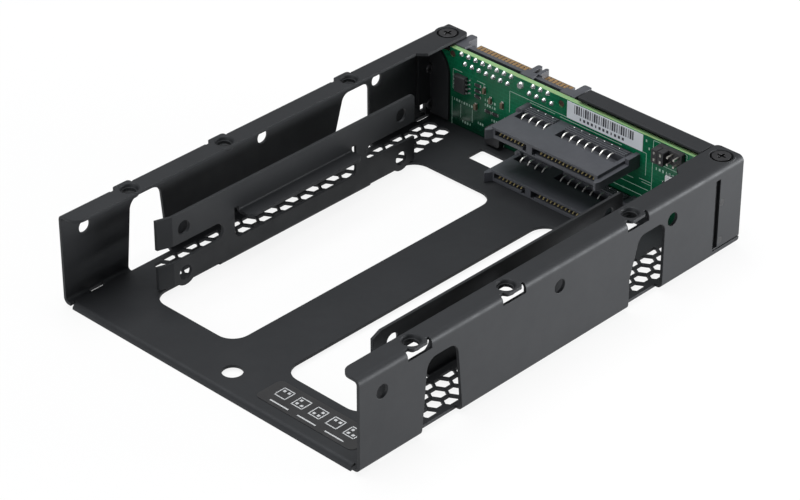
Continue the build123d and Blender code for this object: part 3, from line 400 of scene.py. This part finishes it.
def addBlock(bm, centre, size, bevel=0.0):
    made = bmesh.ops.create_cube(bm, size=1.0)
    bmesh.ops.scale(bm, vec=Vector(size), verts=made["verts"])
    bmesh.ops.translate(bm, vec=Vector(centre), verts=made["verts"])
    if bevel:
        edges = list({edge for vert in made["verts"] for edge in vert.link_edges})
        bmesh.ops.bevel(bm, geom=edges, offset=bevel, affect="EDGES", segments=2, profile=0.5, material=-1)


# Printing on the circuit board: outlines, part marks and plain dashes

silk = {
    "line": 0.15, "height": 0.02 * mm,
    # Straight lines: left, foot, right and top end, in mm from the left wall and over the floor
    "lines": (
        (29.6, 12.3, 29.6, 18.64), (29.6, 18.64, 76.2, 18.64), (76.2, 12.3, 76.2, 18.64),
        (36.8, 17.95, 45.3, 17.95), (47.2, 17.85, 68.0, 17.85),
        (27.9, 9.9, 72.2, 9.9), (75.1, 9.9, 78.0, 9.9), (27.9, 0.6, 27.9, 9.9),
        (66.0, 8.1, 77.2, 8.1), (66.0, 5.9, 75.2, 5.9), (78.3, 3.6, 78.3, 23.35),
        (78.3, 23.35, 89.15, 23.35), (89.15, 17.2, 89.15, 23.35), (78.3, 17.2, 89.15, 17.2),
        (74.3, 10.65, 78.3, 10.65),
        (9.3, 11.8, 9.3, 17.7), (9.3, 17.7, 12.5, 17.7), (18.0, 17.2, 20.8, 17.2), (20.4, 14.1, 20.4, 17.2),
        (9.05, 0.2, 9.05, 9.0), (12.2, 3.9, 12.2, 7.8), (16.4, 3.9, 16.4, 7.8),
    ),
    # Rows of dashes: start, level, count, step, width and height; the first of each three is a short one
    "dashes": (
        (9.9, 8.65, 9, 0.9, 0.5, 0.7), (21.0, 12.6, 5, 0.85, 0.45, 0.7), (21.0, 11.2, 5, 0.85, 0.5, 0.7),
        (79.6, 15.6, 8, 1.1, 0.55, 0.75), (76.0, 22.3, 1, 1.0, 0.8, 0.7), (77.0, 20.3, 1, 1.0, 0.8, 0.7),
        (13.0, 2.9, 4, 0.9, 0.5, 0.7), (18.6, 4.6, 3, 0.8, 0.45, 0.7), (23.5, 7.4, 4, 0.8, 0.45, 0.7),
        (84.6, 11.6, 3, 0.9, 0.5, 0.7), (79.8, 8.6, 3, 0.9, 0.5, 0.7),
    ),
    "shortDash": 0.5,
}
bm = bmesh.new()
printY = boardLow.y - silk["height"] / 2
for left, foot, right, top in silk["lines"]:
    centre = (fromLeft((left + right) / 2), printY, overFloor((foot + top) / 2))
    width, height = right - left + silk["line"], top - foot + silk["line"]
    addBlock(bm, centre, (width * mm, silk["height"], height * mm))
for start, level, count, step, width, height in silk["dashes"]:
    for index in range(count):
        dash = width * (1.0 if index % 3 else silk["shortDash"]) * mm
        centre = (fromLeft(start + index * step), printY, overFloor(level))
        addBlock(bm, centre, (dash, silk["height"], height * mm))
addPiece("boardPrint", bm, "silkInk", "adapter")
print("board print done")


# Solder dots of the contact tails, in a row between each receptacle and the board

tails = {
    "rows": ((38.0, 4), (53.0, 7)), "step": 2.54, "levels": (17.4, 4.5), "front": 9.0,
    "radius": 0.26 * mm, "squash": 0.55,
}
bm = bmesh.new()
for level in tails["levels"]:
    for start, count in tails["rows"]:
        for index in range(count):
            made = bmesh.ops.create_icosphere(bm, subdivisions=2, radius=tails["radius"])
            place = (fromLeft(start + index * tails["step"]), beforeDatum(tails["front"]), overFloor(level))
            bmesh.ops.scale(bm, vec=(1.0, 1.0, tails["squash"]), verts=made["verts"])
            bmesh.ops.translate(bm, vec=Vector(place), verts=made["verts"])
addPiece("tailDots", bm, "solder", "adapter", smooth=True)
print("tails done")


# Solder at the ends of the small passive parts, which lie flat or upright on the board

pads = {   # the corners of the parts are in mm from the left wall and over the floor
    "flat": ((17.6, 15.6), (17.6, 13.9), (17.6, 12.2), (21.4, 9.2), (24.0, 9.2), (82.2, 12.2)),
    "upright": ((20.4, 14.6), (22.6, 12.4), (26.8, 12.6), (17.4, 8.6), (86.4, 11.0), (90.4, 16.2)),
    "ends": (-0.12, 1.72), "middle": 0.4,   # along and across a part, from its corner
    "length": 0.42 * mm, "width": 0.78 * mm, "height": 0.3 * mm, "bevel": 0.06 * mm,
}
bm = bmesh.new()
padY = boardLow.y - pads["height"] / 2
for end in pads["ends"]:
    for x, z in pads["flat"]:
        centre = (fromLeft(x + end), padY, overFloor(z + pads["middle"]))
        addBlock(bm, centre, (pads["length"], pads["height"], pads["width"]), pads["bevel"])
    for x, z in pads["upright"]:
        centre = (fromLeft(x + pads["middle"]), padY, overFloor(z + end))
        addBlock(bm, centre, (pads["width"], pads["height"], pads["length"]), pads["bevel"])
addPiece("padSolder", bm, "solder", "adapter")


# Dark pegs of the plug in the holes of the board

pegs = {
    "points": ((9.05, 22.0), (47.4, 21.8)), "radius": 0.84 * mm, "segments": 28,
    "rim": 0.3 * mm, "height": 0.12 * mm, "proud": 0.01 * mm, "thickness": 0.05 * mm,
}
bm = bmesh.new()
for x, z in pegs["points"]:
    made = bmesh.ops.create_circle(bm, cap_ends=True, segments=pegs["segments"], radius=pegs["radius"])
    faces = list({face for vert in made["verts"] for face in vert.link_faces})
    inner = bmesh.ops.inset_region(bm, faces=faces, thickness=pegs["rim"], depth=-pegs["height"])
    verts = list({vert for face in faces + inner["faces"] for vert in face.verts})
    bmesh.ops.rotate(bm, cent=(0, 0, 0), matrix=Matrix.Rotation(math.radians(90), 3, "X"), verts=verts)
    place = (fromLeft(x), boardLow.y - pegs["proud"], overFloor(z))
    bmesh.ops.translate(bm, vec=Vector(place), verts=verts)
bmesh.ops.solidify(bm, geom=list(bm.faces), thickness=pegs["thickness"])
addPiece("pegCaps", bm, "pegBrown", "adapter")


# Front edge of the bracket's flange, which reaches over the top of the board

lip = {   # in mm, apart from the bevel
    "left": 52.2, "right": 92.7, "front": 7.25, "rear": 6.2, "top": 25.4, "thickness": 0.8,
    "bevel": 0.2 * mm, "segments": 3,
}
bm = bmesh.new()
lipMiddle = Vector((
    fromLeft((lip["left"] + lip["right"]) / 2),
    beforeDatum((lip["front"] + lip["rear"]) / 2),
    overFloor(lip["top"] - lip["thickness"] / 2),
))
lipSize = (lip["right"] - lip["left"], lip["front"] - lip["rear"], lip["thickness"])
addBlock(bm, lipMiddle, Vector(lipSize) * mm)
edges = [edge for edge in bm.edges if all(vert.co.y < lipMiddle.y for vert in edge.verts)]
bmesh.ops.bevel(
    bm, geom=edges, offset=lip["bevel"], affect="EDGES", segments=lip["segments"], profile=0.5, material=-1,
)
addPiece("flangeLip", bm, "blackCoat", "adapter")


# Metal clips that show in the front openings of the two caps

clips = {
    "rise": (-0.95, 0.95),   # in mm from the middle of the cap
    "width": 0.55 * mm, "height": 0.75 * mm, "depth": 0.04 * mm, "bevel": 0.01 * mm,
}
for number in ("1", "2"):
    capLow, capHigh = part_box("jumper_cap_" + number)
    capMiddle = (capLow + capHigh) / 2
    bm = bmesh.new()
    for rise in clips["rise"]:
        centre = (capMiddle.x, capLow.y - clips["depth"] / 2, capMiddle.z + rise * mm)
        addBlock(bm, centre, (clips["width"], clips["depth"], clips["height"]), clips["bevel"])
    addPiece("capClips" + number, bm, "springSilver", "mode_cap_" + number)
print("small pieces done")


# Sticker on the board: plain bars over a row of ticks, in mm from its lower left corner

bars = {
    "count": 27, "left": 2.6, "step": 0.75, "foot": 2.1, "height": 2.5,
    "thin": 0.2, "thicker": 0.13, "ink": 0.02 * mm,   # each bar is thin plus 0 to 3 times thicker
    "ticks": 12, "tickLeft": 4.6, "tickStep": 1.3, "tickLevel": 1.1,
    "tickHeight": 0.8, "tickWidths": (0.4, 0.7),   # the first of each four is narrow
}
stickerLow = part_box("serial_sticker")[0]
inkY = stickerLow.y - bars["ink"] / 2
bm = bmesh.new()
for index in range(bars["count"]):
    x = stickerLow.x + (bars["left"] + index * bars["step"]) * mm
    z = stickerLow.z + (bars["foot"] + bars["height"] / 2) * mm
    width = (bars["thin"] + bars["thicker"] * (index * 7 % 4)) * mm
    addBlock(bm, (x, inkY, z), (width, bars["ink"], bars["height"] * mm))
for index in range(bars["ticks"]):
    x = stickerLow.x + (bars["tickLeft"] + index * bars["tickStep"]) * mm
    z = stickerLow.z + bars["tickLevel"] * mm
    width = bars["tickWidths"][index % 4 > 0] * mm
    addBlock(bm, (x, inkY, z), (width, bars["ink"], bars["tickHeight"] * mm))
addPiece("stickerBars", bm, "barInk", "adapter")
print("sticker done")


# Label on the floor: a row of plain squares with dots in them, and three lines in front

icons = {
    "count": 5, "size": 3.4 * mm, "step": 5.6 * mm, "line": 0.28 * mm, "height": 0.02 * mm, "back": 0.9 * mm,
    "dot": 0.75 * mm, "dotStep": 1.5 * mm,
    "lines": 3, "lineStep": 9.0 * mm, "lineLength": 6.0 * mm, "lineWidth": 0.4 * mm, "lineFoot": 1.3 * mm,
}
labelLow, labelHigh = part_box("mode_label")
labelMiddle = (labelLow + labelHigh) / 2
inkZ = labelHigh.z + icons["height"] / 2
half = icons["size"] / 2
across = (icons["size"] + icons["line"], icons["line"], icons["height"])
upright = (icons["line"], icons["size"], icons["height"])
bm = bmesh.new()
for index in range(icons["count"]):
    x = labelMiddle.x + (index - (icons["count"] - 1) / 2) * icons["step"]
    y = labelMiddle.y + icons["back"]
    for sign in (-1, 1):
        addBlock(bm, (x + sign * half, y, inkZ), upright)
        addBlock(bm, (x, y + sign * half, inkZ), across)
    for row in range(2):
        for column in range(2):
            if (index + row * column + row) % 3:
                centre = (x + (column - 0.5) * icons["dotStep"], y + (row - 0.5) * icons["dotStep"], inkZ)
                addBlock(bm, centre, (icons["dot"], icons["dot"], icons["height"]))
for index in range(icons["lines"]):
    x = labelMiddle.x + (index - (icons["lines"] - 1) / 2) * icons["lineStep"]
    centre = (x, labelLow.y + icons["lineFoot"], inkZ)
    addBlock(bm, centre, (icons["lineLength"], icons["lineWidth"], icons["height"]))
addPiece("labelIcons", bm, "printInk", "adapter")
print("label done")


# Stage: a pale floor and a dim world, which the camera and reflections see as white

stageLook = {
    "floorColour": (0.82, 0.82, 0.82), "floorRoughness": 0.9, "floorSpecular": 0.1, "floorGlow": 0.88,
    "floorSize": 4.0, "floorGap": 0.05 * mm,
    "worldColour": (0.9, 0.95, 1.0), "worldStrength": 0.16, "worldGlossShare": 0.3,
}


# 1 for rays from the camera or through glass, glossShare for reflections
def seenRays(tree, glossShare=1.0):
    rays = tree.nodes.new("ShaderNodeLightPath").outputs
    gloss = addMath(tree, "MULTIPLY", rays["Is Glossy Ray"], glossShare, place=(-700, 500))
    seen = addMath(tree, "MAXIMUM", rays["Is Camera Ray"], gloss, place=(-500, 500))
    return addMath(tree, "MAXIMUM", seen, rays["Is Transmission Ray"], place=(-300, 500))


def mixShaders(tree, factor, first, second, outputNode):
    mix = tree.nodes.new("ShaderNodeMixShader")
    tree.links.new(factor, mix.inputs["Fac"])
    tree.links.new(first.outputs[0], mix.inputs[1])
    tree.links.new(second.outputs[0], mix.inputs[2])
    tree.links.new(mix.outputs["Shader"], tree.nodes[outputNode].inputs["Surface"])


floorMat = bpy.data.materials.new("paleFloor")
floorMat.use_nodes = True
floorTree = floorMat.node_tree
floorShader = floorTree.nodes["Principled BSDF"]
floorShader.inputs["Base Color"].default_value = (*stageLook["floorColour"], 1)
floorShader.inputs["Roughness"].default_value = stageLook["floorRoughness"]
floorShader.inputs["Specular IOR Level"].default_value = stageLook["floorSpecular"]
whiteGlow = floorTree.nodes.new("ShaderNodeEmission")
whiteGlow.inputs["Color"].default_value = (1, 1, 1, 1)
whiteGlow.inputs["Strength"].default_value = 1.0
floorSeen = addMath(floorTree, "MULTIPLY", seenRays(floorTree), stageLook["floorGlow"], place=(-100, 500))
mixShaders(floorTree, floorSeen, floorShader, whiteGlow, "Material Output")

bm = bmesh.new()
bmesh.ops.create_grid(bm, x_segments=1, y_segments=1, size=stageLook["floorSize"])
bmesh.ops.translate(bm, vec=(0, 0, cadBox[0].z - stageLook["floorGap"]), verts=bm.verts)
mesh = bpy.data.meshes.new("studioFloor")
bm.to_mesh(mesh)
bm.free()
mesh.materials.append(floorMat)
studioFloor = bpy.data.objects.new("studioFloor", mesh)
bpy.context.scene.collection.objects.link(studioFloor)

world = bpy.data.worlds.new("studioWorld")
bpy.context.scene.world = world
world.use_nodes = True
worldTree = world.node_tree
dimBack = worldTree.nodes["Background"]
dimBack.inputs["Color"].default_value = (*stageLook["worldColour"], 1)
dimBack.inputs["Strength"].default_value = stageLook["worldStrength"]
whiteBack = worldTree.nodes.new("ShaderNodeBackground")
whiteBack.inputs["Color"].default_value = (1, 1, 1, 1)
whiteBack.inputs["Strength"].default_value = 1.0
worldSeen = seenRays(worldTree, stageLook["worldGlossShare"])
mixShaders(worldTree, worldSeen, dimBack, whiteBack, "World Output")

lamps = {
    "keyLamp": {"place": (0.4, 0.34, 0.07), "size": (0.4, 0.12), "power": 5.2},
    "topLamp": {"place": (-0.2, 0.0, 1.0), "size": (0.8, 0.8), "power": 11.0},
    "frontLamp": {"place": (-0.1, -0.95, 0.25), "size": (0.6, 0.4), "power": 4.0},
}
for name, lamp in lamps.items():
    light = bpy.data.lights.new(name, "AREA")
    light.shape = "RECTANGLE"
    light.size, light.size_y = lamp["size"]
    light.energy = lamp["power"]
    lampObject = bpy.data.objects.new(name, light)
    lampObject.location = lamp["place"]
    lampObject.rotation_euler = (-Vector(lamp["place"])).to_track_quat("-Z", "Y").to_euler()
    bpy.context.scene.collection.objects.link(lampObject)
print("stage done")


# Camera, from the view fitted to the photograph

view = {
    "azimuth": 43.97, "elevation": 32.02, "distance": 0.737, "aim": (0.0, -0.00455, 0.0127),
    "lens": 134.8, "sensor": 36.0, "shift": (0.005, -0.0165), "clip": (0.01, 20.0),
}
azimuth, elevation = math.radians(view["azimuth"]), math.radians(view["elevation"])
back = Vector((
    math.sin(azimuth) * math.cos(elevation),
    -math.cos(azimuth) * math.cos(elevation),
    math.sin(elevation),
))
camera = bpy.data.cameras.new("photoCamera")
camera.lens = view["lens"]
camera.sensor_width = view["sensor"]
camera.shift_x, camera.shift_y = view["shift"]
camera.clip_start, camera.clip_end = view["clip"]
cameraObject = bpy.data.objects.new("photoCamera", camera)
bpy.context.scene.collection.objects.link(cameraObject)
cameraObject.location = Vector(view["aim"]) + back * view["distance"]
cameraObject.rotation_euler = (-back).to_track_quat("-Z", "Y").to_euler()
bpy.context.scene.camera = cameraObject
bpy.context.scene.view_settings.view_transform = "Standard"
print("camera done")
